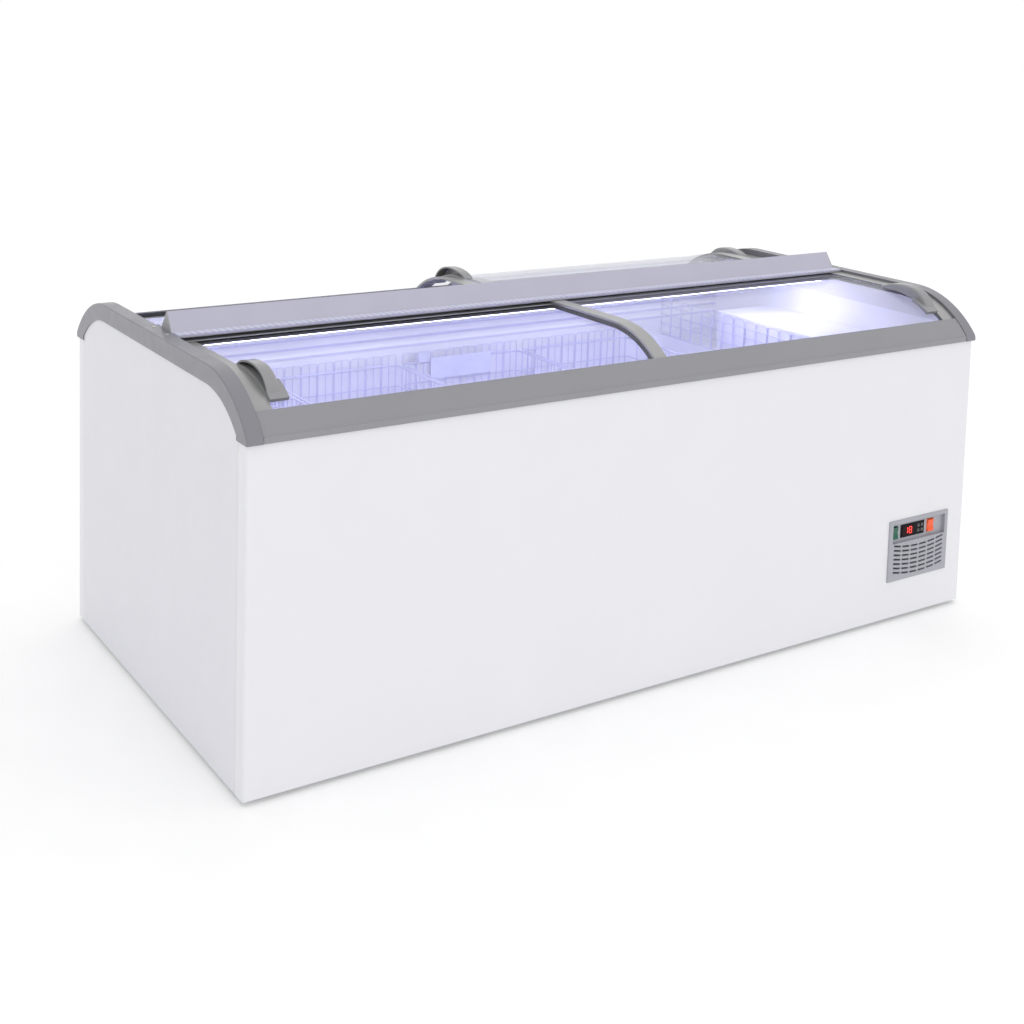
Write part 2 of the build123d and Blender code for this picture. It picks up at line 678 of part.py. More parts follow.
with BuildPart() as end_guard:
    block((STEP_X - 6, -TUB_Y + 6, LEDGE_Z), (STEP_X - 1, TUB_Y - 6, STEP_Z - 4))
save(end_guard.part, "end_guard")

# ---- control panel ----

BEZEL_FRONT = 4          # how far the bezel stands out of the sheet
BEZEL_BACK = 9           # how far it reaches inside
POCKET = (200, 50)       # recess that holds the controls
POCKET_Z = CONTROL_Z + 45
FLOOR_Y = -PANEL_Y + 5   # face of the recess floor
GREEN_X = CONTROL_X - 82
DISPLAY_X = CONTROL_X - 33
KEYS_X = CONTROL_X + 11
ORANGE_X = CONTROL_X + 48
ROCKER = (24, 34)
MODULE_X = CONTROL_X - 17
MODULE = (86, 34)        # black face that carries the display and the keys
MODULE_DEPTH = 30
KEY = 8
KEY_STEP = 13
LOUVRE_ROWS = 7
LOUVRE_COLUMNS = 6
LOUVRE_RADIUS = 420      # bow of the louvre rows
LOUVRE_TOP_Z = CONTROL_Z + 6
LOUVRE_STEP = 11.5
LOUVRE_SLOT = 5
LOUVRE_WIDTH = 26        # one slot
LOUVRE_PITCH = 31
ROCKER_PIVOT_Y = FLOOR_Y + 6
PIN_RADIUS = 1.8         # rocker pivot pin
LUG = 4                  # bearing lugs beside each rocker


def bowed_slot(middle_angle, half_angle, radius, centre_z):
    """One slot of a louvre row, bowed downwards in the middle."""
    def at(distance, angle):
        return (CONTROL_X + distance * sin(angle), centre_z - distance * cos(angle))

    low, high = radius, radius - LOUVRE_SLOT
    first, last = middle_angle - half_angle, middle_angle + half_angle
    with BuildLine() as outline_edges:
        ThreePointArc(at(low, first), at(low, middle_angle), at(low, last))
        Line(at(low, last), at(high, last))
        ThreePointArc(at(high, last), at(high, middle_angle), at(high, first))
        Line(at(high, first), at(low, first))
    make_face(outline_edges.edges())


with BuildPart() as control_bezel:
    with BuildSketch(Plane.XZ.offset(PANEL_Y)) as border:
        with Locations((CONTROL_X, CONTROL_Z)):
            Rectangle(CONTROL_WIDTH, CONTROL_HEIGHT)
        fillet(border.vertices(), 2)
    extrude(amount=BEZEL_FRONT)
    chamfer(control_bezel.faces().sort_by(Axis.Y)[0].edges(), 1.5)
    with BuildSketch(Plane.XZ.offset(PANEL_Y)):
        with Locations((CONTROL_X, CONTROL_Z)):
            Rectangle(CUTOUT[0] - 0.4, CUTOUT[1] - 0.4)
    extrude(amount=-BEZEL_BACK)
    with BuildSketch(Plane.XZ.offset(PANEL_Y + BEZEL_FRONT)):
        with Locations((CONTROL_X, POCKET_Z - 0.5)):
            Rectangle(CUTOUT[0] - 6, POCKET[1])
    extrude(amount=-BEZEL_FRONT - 5, mode=Mode.SUBTRACT)
    with BuildSketch(Plane.XZ.offset(PANEL_Y - 4)):
        for switch_x in (GREEN_X, ORANGE_X):
            with Locations((switch_x, POCKET_Z)):
                Rectangle(*ROCKER)
        with Locations((MODULE_X, POCKET_Z)):
            Rectangle(*MODULE)
    extrude(amount=-10, mode=Mode.SUBTRACT)
    for switch_x in (GREEN_X, ORANGE_X):
        for lug_x in (switch_x - ROCKER[0] / 2 - LUG, switch_x + ROCKER[0] / 2):
            block(
                (lug_x, -PANEL_Y + BEZEL_BACK - 1, POCKET_Z - LUG),
                (lug_x + LUG, ROCKER_PIVOT_Y + LUG, POCKET_Z + LUG),
            )
        with BuildSketch(Plane.YZ.offset(switch_x - ROCKER[0])):
            with Locations((ROCKER_PIVOT_Y, POCKET_Z)):
                Circle(PIN_RADIUS + 0.3)
        extrude(amount=2 * ROCKER[0], mode=Mode.SUBTRACT)
    half_slot = LOUVRE_WIDTH / 2 / LOUVRE_RADIUS
    pitch = LOUVRE_PITCH / LOUVRE_RADIUS
    with BuildSketch(Plane.XZ.offset(PANEL_Y + BEZEL_FRONT + 1)):
        for row in range(LOUVRE_ROWS):
            centre_z = LOUVRE_TOP_Z - LOUVRE_STEP * row - 4 + LOUVRE_RADIUS
            for column in range(LOUVRE_COLUMNS):
                bowed_slot((column - (LOUVRE_COLUMNS - 1) / 2) * pitch, half_slot, LOUVRE_RADIUS, centre_z)
    extrude(amount=-20, mode=Mode.SUBTRACT)
save(control_bezel.part, "control_bezel")

with BuildPart() as display_module:
    block(
        (MODULE_X - MODULE[0] / 2, FLOOR_Y - 1, POCKET_Z - MODULE[1] / 2),
        (MODULE_X + MODULE[0] / 2, FLOOR_Y + MODULE_DEPTH, POCKET_Z + MODULE[1] / 2),
    )
    for key_x in (-1, 1):
        for key_z in (-1, 1):
            middle = (KEYS_X + key_x * KEY_STEP / 2, POCKET_Z + key_z * KEY_STEP / 2)
            block(
                (middle[0] - KEY / 2 - 0.3, FLOOR_Y - 2, middle[1] - KEY / 2 - 0.3),
                (middle[0] + KEY / 2 + 0.3, FLOOR_Y + 5, middle[1] + KEY / 2 + 0.3),
                mode=Mode.SUBTRACT,
            )
save(display_module.part, "display_module")

WINDOW_HALF = (22, 14)
with BuildPart() as display_window:
    block(
        (DISPLAY_X - WINDOW_HALF[0], FLOOR_Y - 2.2, POCKET_Z - WINDOW_HALF[1]),
        (DISPLAY_X + WINDOW_HALF[0], FLOOR_Y - 1, POCKET_Z + WINDOW_HALF[1]),
    )
save(display_window.part, "display_window")

KEY_NAMES = ("set_key", "defrost_key", "up_key", "down_key")
key_places = [(-1, 1), (-1, -1), (1, 1), (1, -1)]
for key_name, place in zip(KEY_NAMES, key_places):
    with BuildPart() as key:
        with BuildSketch(Plane.XZ.offset(-FLOOR_Y + 2.2)) as cap_outline:
            with Locations((KEYS_X + place[0] * KEY_STEP / 2, POCKET_Z + place[1] * KEY_STEP / 2)):
                Rectangle(KEY, KEY)
            fillet(cap_outline.vertices(), 1.5)
        extrude(amount=-5)
        fillet(key.faces().sort_by(Axis.Y)[0].edges(), 0.6)
    save(key.part, key_name)



def rocker(centre_x):
    """Rocker cap with two sloping faces, which tips about a pin across its middle."""
    half = ROCKER[1] / 2 - 2
    with BuildPart() as cap:
        with BuildSketch(Plane.YZ.offset(centre_x - ROCKER[0] / 2 + 1.5)):
            with BuildLine() as outline_edges:
                Polyline(
                    (FLOOR_Y - 5, POCKET_Z + half),
                    (FLOOR_Y - 2, POCKET_Z),
                    (FLOOR_Y - 5, POCKET_Z - half),
                    (ROCKER_PIVOT_Y, POCKET_Z - half + 1.5),
                    (ROCKER_PIVOT_Y + 5, POCKET_Z),
                    (ROCKER_PIVOT_Y, POCKET_Z + half - 1.5),
                    close=True,
                )
            make_face(outline_edges.edges())
        extrude(amount=ROCKER[0] - 3)
        with BuildSketch(Plane.YZ.offset(centre_x - ROCKER[0] / 2 - LUG)):
            with Locations((ROCKER_PIVOT_Y, POCKET_Z)):
                Circle(PIN_RADIUS)
        extrude(amount=ROCKER[0] + 2 * LUG)
    return cap.part


save(rocker(GREEN_X), "green_rocker")
save(rocker(ORANGE_X), "orange_rocker")

# ---- machine room ----

COMPRESSOR_X = 880
COMPRESSOR_Y = -60
COMPRESSOR_PLATE = (180, 200)
PLATE_HEIGHT = 10
SHELL_HALF = (75, 90)
SHELL_HEIGHT = 190
SHELL_CROWN = 35
with BuildPart() as compressor:
    with BuildSketch(Plane.XY.offset(PAN_TOP)) as plate:
        with Locations((COMPRESSOR_X, COMPRESSOR_Y)):
            Rectangle(*COMPRESSOR_PLATE)
        fillet(plate.vertices(), 12)
    extrude(amount=PLATE_HEIGHT)
    with BuildSketch(Plane.XY.offset(PAN_TOP + PLATE_HEIGHT - 1)) as shell:
        with Locations((COMPRESSOR_X, COMPRESSOR_Y)):
            Ellipse(*SHELL_HALF)
    extrude(amount=SHELL_HEIGHT)
    fillet(compressor.faces().sort_by(Axis.Z)[-1].edges(), SHELL_CROWN)
save(compressor.part, "compressor")

COIL_Y = -430
CONDENSER_ROWS = 9
CONDENSER_FIRST_Z = 70
CONDENSER_PITCH = 24
CONDENSER_ROW = 8
CONDENSER_TOP = 290
CONDENSER_LEFT = ROOM_X + 12
CONDENSER_RIGHT = ROOM_X + 208
CONDENSER_PLATE = 3
with BuildPart() as condenser_coil:
    for row in range(CONDENSER_ROWS):
        level = CONDENSER_FIRST_Z + CONDENSER_PITCH * row
        block(
            (CONDENSER_LEFT + 1, COIL_Y - 22, level),
            (CONDENSER_RIGHT - 1, COIL_Y + 22, level + CONDENSER_ROW),
        )
    for side in (CONDENSER_LEFT, CONDENSER_RIGHT - CONDENSER_PLATE):
        block((side, COIL_Y - 26, PAN_TOP), (side + CONDENSER_PLATE, COIL_Y + 26, CONDENSER_TOP))
save(condenser_coil.part, "condenser_coil")

FAN_X = ROOM_X + 110
FAN_Z = 165
FAN_Y = COIL_Y + 60      # front face of the hub
HUB_DEPTH = 20
HUB_RADIUS = 16
FAN_RADIUS = 80
BLADES = 4
BLADE = (16, 4)          # width and thickness
SHAFT_RADIUS = 4
SHAFT_PLAY = 0.3
MOTOR_Y = FAN_Y + 30     # front face of the motor
MOTOR_RADIUS = 28
MOTOR_DEPTH = 50
BRACKET = (40, 4)        # width and thickness
with BuildPart() as fan_motor:
    with BuildSketch(Plane.XZ.offset(-MOTOR_Y)):
        with Locations((FAN_X, FAN_Z)):
            Circle(MOTOR_RADIUS)
    extrude(amount=-MOTOR_DEPTH)
    with BuildSketch(Plane.XZ.offset(-MOTOR_Y - MOTOR_DEPTH + BRACKET[1])):
        with Locations((FAN_X, (FAN_Z + PAN_TOP) / 2)):
            Rectangle(BRACKET[0], FAN_Z - PAN_TOP)
    extrude(amount=-BRACKET[1])
    with BuildSketch(Plane.XZ.offset(-FAN_Y - HUB_DEPTH / 2)):
        with Locations((FAN_X, FAN_Z)):
            Circle(SHAFT_RADIUS)
    extrude(amount=-HUB_DEPTH / 2 - 15)
save(fan_motor.part, "fan_motor")

with BuildPart() as fan_blade:
    with BuildSketch(Plane.XZ.offset(-FAN_Y)):
        with Locations((FAN_X, FAN_Z)):
            Circle(HUB_RADIUS)
    extrude(amount=-HUB_DEPTH)
    for blade in range(BLADES):
        turn = radians(360 / BLADES * blade)
        middle = (FAN_X, FAN_Y + HUB_DEPTH / 2, FAN_Z)
        blade_plane = Plane(origin=middle, x_dir=(0, 1, 0), z_dir=(cos(turn), 0, sin(turn)))
        with BuildSketch(blade_plane.offset(HUB_RADIUS - 2)):
            Rectangle(*BLADE)
        extrude(amount=FAN_RADIUS - HUB_RADIUS + 2)
    with BuildSketch(Plane.XZ.offset(-FAN_Y + 1)):
        with Locations((FAN_X, FAN_Z)):
            Circle(SHAFT_RADIUS + SHAFT_PLAY)
    extrude(amount=-HUB_DEPTH - 2, mode=Mode.SUBTRACT)
save(fan_blade.part, "fan_blade")

GRILLE_SHEET = 3
SLOT = (74, 7)
SLOT_PITCH = (85, 16)
SLOT_ROWS = 15
GLAND_DEPTH = 8
GLAND_RADIUS = 17
CORD_RADIUS = 4.5
with BuildPart() as rear_grille:
    with BuildSketch(Plane.XZ.offset(-PANEL_Y)) as plate:
        with Locations((REAR_GRILLE_X, GRILLE_Z)):
            Rectangle(GRILLE_WIDTH, GRILLE_HEIGHT)
        fillet(plate.vertices(), 5)
    extrude(amount=-GRILLE_SHEET)
    with BuildSketch(Plane.XZ.offset(-PANEL_Y)):
        with Locations((REAR_GRILLE_X, GRILLE_Z)):
            with GridLocations(*SLOT_PITCH, 2, SLOT_ROWS):
                SlotOverall(*SLOT)
    extrude(amount=-GRILLE_SHEET, mode=Mode.SUBTRACT)
save(rear_grille.part, "rear_grille")

with BuildPart() as cable_inlet:
    with BuildSketch(Plane.XZ.offset(-PANEL_Y + GLAND_DEPTH)):
        with Locations((INLET_X, INLET_Z)):
            Circle(INLET_RADIUS - 0.2)
    extrude(amount=-GLAND_DEPTH)
    with BuildSketch(Plane.XZ.offset(-PANEL_Y)):
        with Locations((INLET_X, INLET_Z)):
            RegularPolygon(GLAND_RADIUS, 6)
    extrude(amount=-GLAND_DEPTH)
    fillet(cable_inlet.faces().sort_by(Axis.Y)[-1].edges(), 1.5)
    with BuildSketch(Plane.XZ.offset(-PANEL_Y + GLAND_DEPTH + 1)):
        with Locations((INLET_X, INLET_Z)):
            Circle(CORD_RADIUS)
    extrude(amount=-2 * GLAND_DEPTH - 2, mode=Mode.SUBTRACT)
save(cable_inlet.part, "cable_inlet")
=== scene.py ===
import math

import bmesh
import bpy
from mathutils import Matrix, Vector


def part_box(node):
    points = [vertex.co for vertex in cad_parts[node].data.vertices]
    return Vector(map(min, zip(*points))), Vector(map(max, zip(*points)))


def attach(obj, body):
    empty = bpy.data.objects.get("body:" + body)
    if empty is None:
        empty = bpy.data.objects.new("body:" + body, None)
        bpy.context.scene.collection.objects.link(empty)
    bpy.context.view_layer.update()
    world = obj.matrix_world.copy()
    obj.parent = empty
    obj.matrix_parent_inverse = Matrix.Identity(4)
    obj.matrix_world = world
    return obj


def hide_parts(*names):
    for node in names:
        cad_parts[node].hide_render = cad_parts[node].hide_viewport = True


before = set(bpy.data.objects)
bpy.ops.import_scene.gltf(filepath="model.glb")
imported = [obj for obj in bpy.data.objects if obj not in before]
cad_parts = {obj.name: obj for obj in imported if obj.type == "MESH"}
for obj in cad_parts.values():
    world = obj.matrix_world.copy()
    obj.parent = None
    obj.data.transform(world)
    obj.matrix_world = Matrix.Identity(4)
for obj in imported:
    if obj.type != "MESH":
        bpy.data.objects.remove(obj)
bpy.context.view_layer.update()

MM = 0.001


# ---- node materials ----

class Nodes:
    """Shorthand for building one material's node tree."""

    def __init__(self, name):
        self.material = bpy.data.materials.new(name)
        self.material.use_nodes = True
        self.tree = self.material.node_tree
        self.shader = self.tree.nodes["Principled BSDF"]
        self.output = self.tree.nodes["Material Output"]
        self.place = self.tree.nodes.new("ShaderNodeTexCoord")

    def add(self, kind, inputs=None, **settings):
        node = self.tree.nodes.new(kind)
        for key, value in settings.items():
            setattr(node, key, value)
        for key, value in (inputs or {}).items():
            if isinstance(value, bpy.types.NodeSocket):
                self.tree.links.new(value, node.inputs[key])
            else:
                node.inputs[key].default_value = value
        return node

    def link(self, source, target):
        self.tree.links.new(source, target)

    def scaled(self, stretch):
        """Object coordinates, in metres, multiplied along each axis."""
        mapping = self.add("ShaderNodeMapping", {"Vector": self.place.outputs["Object"], "Scale": stretch})
        return mapping.outputs["Vector"]

    def noise(self, scale, detail=3.0, stretch=(1, 1, 1), roughness=0.55):
        inputs = {"Vector": self.scaled(stretch), "Scale": scale, "Detail": detail, "Roughness": roughness}
        return self.add("ShaderNodeTexNoise", inputs).outputs["Fac"]

    def span(self, value, low, high, start=0.3, end=0.7):
        """A value mapped from its usual spread onto low to high."""
        inputs = {"Value": value, "From Min": start, "From Max": end, "To Min": low, "To Max": high}
        return self.add("ShaderNodeMapRange", inputs).outputs["Result"]

    def blend(self, factor, first, second):
        mix = self.add("ShaderNodeMix", data_type="RGBA")
        if isinstance(factor, bpy.types.NodeSocket):
            self.link(factor, mix.inputs["Factor"])
        else:
            mix.inputs["Factor"].default_value = factor
        for socket, colour in ((mix.inputs[6], first), (mix.inputs[7], second)):
            if isinstance(colour, bpy.types.NodeSocket):
                self.link(colour, socket)
            else:
                socket.default_value = (*colour, 1)
        return mix.outputs[2]

    def maths(self, operation, first, second=0.0):
        node = self.add("ShaderNodeMath", operation=operation)
        for socket, value in ((node.inputs[0], first), (node.inputs[1], second)):
            if isinstance(value, bpy.types.NodeSocket):
                self.link(value, socket)
            else:
                socket.default_value = value
        return node.outputs[0]

    def axis(self, name):
        """One object coordinate, in metres."""
        split = self.add("ShaderNodeSeparateXYZ", {"Vector": self.place.outputs["Object"]})
        return split.outputs[name]


def shade(colour, change):
    return tuple(min(1.0, channel * (1 + change)) for channel in colour)


def finish(name, colour, roughness, metallic=0.0, mottle=0.03, mottle_scale=6.0, grain=900.0,
           bump=0.15, stretch=(1, 1, 1), depth=0.00005, coat=0.0, spread=0.06, glow=None, glow_strength=0.0,
           specular=0.5):
    """A surface whose tone drifts slowly, whose gloss varies, and which has a fine grain."""
    n = Nodes(name)
    broad = n.noise(mottle_scale, 4.0)
    tone = n.blend(n.span(broad, 0.0, 1.0), shade(colour, -mottle), shade(colour, mottle))
    n.link(tone, n.shader.inputs["Base Color"])
    fine = n.noise(grain, 2.0, stretch)
    gloss = n.span(n.noise(mottle_scale * 5, 3.0), roughness - spread, roughness + spread)
    n.link(gloss, n.shader.inputs["Roughness"])
    n.shader.inputs["Metallic"].default_value = metallic
    n.shader.inputs["Coat Weight"].default_value = coat
    n.shader.inputs["Specular IOR Level"].default_value = specular
    relief = n.add("ShaderNodeBump", {"Height": fine, "Strength": bump, "Distance": depth})
    n.link(relief.outputs["Normal"], n.shader.inputs["Normal"])
    if glow:
        n.link(n.blend(n.span(broad, 0.0, 1.0), shade(glow, -0.1), glow), n.shader.inputs["Emission Color"])
        n.shader.inputs["Emission Strength"].default_value = glow_strength
    return n.material


SHEEN = 0.35             # how strongly the glass mirrors its surroundings towards grazing
SHEEN_HEAD_ON = 0.03


def glass_pane(name, tint, film):
    """Clear toughened glass: light goes straight through, with a sheen that grows towards grazing."""
    n = Nodes(name)
    n.tree.nodes.remove(n.shader)
    smears = n.noise(9.0, 5.0, (1, 2.5, 1))
    clear = n.add("ShaderNodeBsdfTransparent")
    n.link(n.blend(n.span(smears, 0.0, 1.0), tint, shade(tint, 0.04)), clear.inputs["Color"])
    sheen = n.add("ShaderNodeBsdfGlossy", {"Color": (0.95, 0.96, 1.0, 1)})
    n.link(n.span(smears, 0.02, 0.07), sheen.inputs["Roughness"])
    grazing = n.add("ShaderNodeLayerWeight", {"Blend": 0.5}).outputs["Facing"]
    edge = n.maths("ADD", n.maths("MULTIPLY", n.maths("POWER", grazing, 5.0), SHEEN),
                   SHEEN_HEAD_ON)
    haze = n.add("ShaderNodeBsdfDiffuse", {"Color": (0.85, 0.87, 1.0, 1)})
    coated = n.add("ShaderNodeMixShader", {1: clear.outputs[0], 2: sheen.outputs[0]})
    n.link(edge, coated.inputs["Fac"])
    filmed = n.add("ShaderNodeMixShader", {1: coated.outputs[0], 2: haze.outputs[0]})
    n.link(n.span(smears, film * 0.5, film * 1.5), filmed.inputs["Fac"])
    n.link(filmed.outputs[0], n.output.inputs["Surface"])
    return n.material


def light_band(name, base, glow, pitch, strength, dark):
    """A diffuser over a row of small lamps: bright dashes along X on a dimmer glow."""
    n = Nodes(name)
    n.link(n.blend(n.span(n.noise(30.0), 0.0, 1.0), shade(base, -0.04), base), n.shader.inputs["Base Color"])
    n.shader.inputs["Roughness"].default_value = 0.35
    wave = n.maths("SINE", n.maths("MULTIPLY", n.axis("X"), 2 * math.pi / pitch))
    dash = n.span(wave, dark, 1.0, -0.1, 0.5)
    patchy = n.span(n.noise(14.0), 0.85, 1.1)
    n.link(n.maths("MULTIPLY", n.maths("MULTIPLY", dash, patchy), strength),
           n.shader.inputs["Emission Strength"])
    n.shader.inputs["Emission Color"].default_value = (*glow, 1)
    relief = n.add("ShaderNodeBump", {"Height": wave, "Strength": 0.06, "Distance": 0.0002})
    n.link(relief.outputs["Normal"], n.shader.inputs["Normal"])
    return n.material


RIB_PITCH = 0.024        # rolled ribs along the tub's long walls
RIBS_FROM_Z = 0.6
LONG_WALL_Y = 0.436
GROOVE_SHADE_SHARE = (0.72, 0.72, 0.9)       # painted shade in the rib hollows, as a share of each channel


def ribbed_lining(name, colour):
    """White moulded tub whose long walls carry shallow ribs above the baskets, with painted shade in dark
    bands at the rib pitch.
    """
    n = Nodes(name)
    drift = n.span(n.noise(6.0, 4.0), 0.0, 1.0)
    tone = n.blend(drift, shade(colour, -0.015), shade(colour, 0.015))
    high = n.maths("GREATER_THAN", n.axis("Z"), RIBS_FROM_Z)
    outside = n.maths("GREATER_THAN", n.maths("ABSOLUTE", n.axis("Y")), LONG_WALL_Y)
    wave = n.maths("SINE", n.maths("MULTIPLY", n.axis("Z"), 2 * math.pi / RIB_PITCH))
    here = n.maths("MULTIPLY", high, outside)
    # painted shade: darker bands at the rib pitch on the long walls above RIBS_FROM_Z
    painted_groove_shade = n.maths("MULTIPLY", n.span(wave, 0.0, 1.0, 0.3, 0.9), here)
    shadowed = tuple(channel * share for channel, share in zip(colour, GROOVE_SHADE_SHARE))
    n.link(n.blend(painted_groove_shade, tone, shadowed), n.shader.inputs["Base Color"])
    n.link(n.span(n.noise(30.0, 3.0), 0.34, 0.46), n.shader.inputs["Roughness"])
    height = n.maths("MULTIPLY", wave, here)
    relief = n.add("ShaderNodeBump", {"Height": height, "Strength": 0.5, "Distance": 0.002})
    n.link(relief.outputs["Normal"], n.shader.inputs["Normal"])
    return n.material


WHITE_PAINT = finish("cabinet_white_paint", (0.82, 0.82, 0.855), 0.42, mottle=0.008, grain=420, bump=0.12,
                     coat=0.15)
# painted shade: the end panels take a darker copy of the cabinet's white paint
SHADED_END_PAINT = finish("end_white_paint_painted_shade", (0.77, 0.77, 0.82), 0.45, mottle=0.01, grain=420, bump=0.12, coat=0.1)
GALVANISED = finish("galvanised_sheet", (0.55, 0.56, 0.58), 0.42, 0.85, mottle=0.12, mottle_scale=45,
                    grain=160, bump=0.1)
FOAM = finish("foam_block", (0.8, 0.72, 0.5), 0.9, mottle=0.06, grain=300, bump=0.6, depth=0.0004)
LINER = ribbed_lining("liner_white", (0.84, 0.845, 0.93))
LEDGE = finish("ledge_white", (0.72, 0.72, 0.78), 0.4, mottle=0.015, grain=350, bump=0.1)
COPPER = finish("copper_tube", (0.7, 0.36, 0.22), 0.3, 1.0, mottle=0.1, mottle_scale=25)
FOOT = finish("foot_rubber", (0.03, 0.03, 0.033), 0.65, mottle=0.15, grain=500, bump=0.4)
RAIL = finish("rail_grey", (0.285, 0.285, 0.31), 0.34, 0.0, mottle=0.02, grain=260, bump=0.08,
              stretch=(0.01, 1, 1), coat=0.1)
CAP = finish("cap_grey", (0.235, 0.232, 0.262), 0.36, mottle=0.012, grain=520, bump=0.2, coat=0.08)
SCREW = finish("zinc_screw", (0.62, 0.62, 0.6), 0.3, 1.0, mottle=0.08, mottle_scale=200)
RIDGE = finish("anodised_ridge", (0.52, 0.51, 0.61), 0.36, 0.5, mottle=0.02, grain=420, bump=0.1,
               stretch=(0.008, 1, 1))
PLUG = finish("ridge_plug_grey", (0.36, 0.36, 0.375), 0.42, mottle=0.03, grain=520, bump=0.2)
TRACK = finish("track_grey", (0.36, 0.36, 0.37), 0.4, mottle=0.04, grain=300, bump=0.1, stretch=(0.01, 1, 1))
BEZEL = finish("bezel_grey", (0.4, 0.4, 0.445), 0.42, mottle=0.02, grain=900, bump=0.2)
MODULE = finish("module_black", (0.008, 0.008, 0.01), 0.4, mottle=0.1, grain=1200, bump=0.05, specular=0.12)
WINDOW = finish("window_smoke", (0.014, 0.004, 0.006), 0.3, mottle=0.1, grain=1500, bump=0.03, specular=0.12)
KEY = finish("key_grey", (0.1, 0.1, 0.105), 0.5, mottle=0.05, mottle_scale=90, grain=1500, bump=0.2)
GREEN = finish("rocker_green", (0.004, 0.085, 0.055), 0.3, mottle=0.15, mottle_scale=90, grain=1400, bump=0.1,
               coat=0.4, glow=(0.02, 0.5, 0.22), glow_strength=0.05, specular=0.25)
ORANGE = finish("rocker_orange", (0.55, 0.05, 0.012), 0.3, mottle=0.15, mottle_scale=90, grain=1400, bump=0.1,
                coat=0.4, glow=(1.0, 0.16, 0.03), glow_strength=0.4, specular=0.25)
MACHINE = finish("machine_black", (0.012, 0.012, 0.014), 0.4, mottle=0.2, grain=300, bump=0.3)
FAN = finish("fan_grey", (0.1, 0.1, 0.11), 0.4, mottle=0.1, grain=400, bump=0.2)
GRILLE = finish("grille_grey", (0.5, 0.51, 0.53), 0.4, mottle=0.04, grain=420, bump=0.15)
INLET = finish("inlet_black", (0.02, 0.02, 0.02), 0.45, mottle=0.1, grain=900, bump=0.3)
GLASS = glass_pane("lid_glass", (0.97, 0.972, 0.995), 0.006)
STRIP = finish("strip_satin", (0.4, 0.4, 0.4), 0.3, 0.35, mottle=0.01, grain=420, bump=0.04,
               stretch=(1, 0.02, 0.02),
               spread=0.015)
REAR_SEAL = finish("rear_seal_grey", (0.5, 0.5, 0.53), 0.4, mottle=0.04, grain=420, bump=0.1,
                   stretch=(0.01, 1, 1))
SEAL = finish("seal_grey", (0.16, 0.16, 0.17), 0.45, mottle=0.06, grain=420, bump=0.15, stretch=(0.01, 1, 1))
HANDLE = finish("handle_grey", (0.3, 0.3, 0.31), 0.24, mottle=0.015, grain=620, bump=0.1, coat=0.15,
                spread=0.02)
# painted shade: the white coated wire is coloured a darker lavender
WIRE_SHADE_PAINTED = finish("wire_white", (0.66, 0.66, 0.86), 0.32, mottle=0.02, mottle_scale=30, grain=900, bump=0.2,
              coat=0.3)
LABEL = finish("label_holder", (0.72, 0.75, 0.92), 0.2, mottle=0.05, mottle_scale=30, grain=500, bump=0.05,
               coat=0.5)
DIGIT = finish("lit_digit", (0.6, 0.02, 0.02), 0.4, mottle=0.1, mottle_scale=300, glow=(1.0, 0.04, 0.03),
               glow_strength=4.0)
COVER = light_band("frosted_cover", (0.42, 0.42, 0.5), (0.72, 0.74, 1.0), 0.016, 0.3, 0.55)
LAMP = light_band("lamp_strip", (0.9, 0.9, 1.0), (0.66, 0.66, 1.0), 0.02, 24.0, 0.6)

LIDS = ("front_lower", "front_upper", "rear_lower", "rear_upper")
LOOKS = {
    "front_panel": WHITE_PAINT, "rear_panel": WHITE_PAINT, "left_end_panel": SHADED_END_PAINT,
    "right_end_panel": SHADED_END_PAINT, "base_pan": GALVANISED, "foam_core": FOAM, "liner": LINER,
    "drain_plug": LINER, "evaporator_tube": COPPER, "levelling_feet": FOOT, "front_rail": RAIL,
    "rear_rail": RAIL, "left_end_cap": CAP, "right_end_cap": CAP, "side_ledges": LEDGE,
    "cap_screws": SCREW, "ridge_beam": RIDGE, "ridge_plugs": PLUG, "front_track": TRACK,
    "rear_track": TRACK, "led_strips": LAMP, "light_covers": COVER, "control_bezel": BEZEL,
    "display_module": MODULE, "display_window": WINDOW, "set_key": KEY, "defrost_key": KEY,
    "up_key": KEY, "down_key": KEY, "green_rocker": GREEN, "orange_rocker": ORANGE,
    "compressor": MACHINE, "condenser_coil": MACHINE, "fan_motor": MACHINE, "fan_blade": FAN,
    "rear_grille": GRILLE, "cable_inlet": INLET,
}
for lid in LIDS:
    LOOKS[lid + "_glass"] = GLASS
    LOOKS[lid + "_end_strips"] = STRIP
    LOOKS[lid + "_edge_seals"] = REAR_SEAL if lid.startswith("rear") else SEAL
    LOOKS[lid + "_handle"] = HANDLE

for node, look in LOOKS.items():
    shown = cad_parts[node]
    for index in range(len(shown.data.materials)):
        shown.data.materials[index] = look


# ---- wire work ----

WIRE_SIDES = 2           # bevel resolution of a wire
CORNER_STEPS = 4


def rounded(points, radius, closed):
    """Points of a path whose corners are turned into arcs of about this radius."""
    count = len(points)
    path = []
    for index, corner in enumerate(points):
        if not closed and index in (0, count - 1):
            path.append(corner)
            continue
        before = points[index - 1] - corner
        after = points[(index + 1) % count] - corner
        reach = min(radius, before.length * 0.48, after.length * 0.48)
        start = corner + before.normalized() * reach
        end = corner + after.normalized() * reach
        for step in range(CORNER_STEPS + 1):
            t = step / CORNER_STEPS
            path.append(start * (1 - t) ** 2 + corner * 2 * t * (1 - t) + end * t ** 2)
    return path


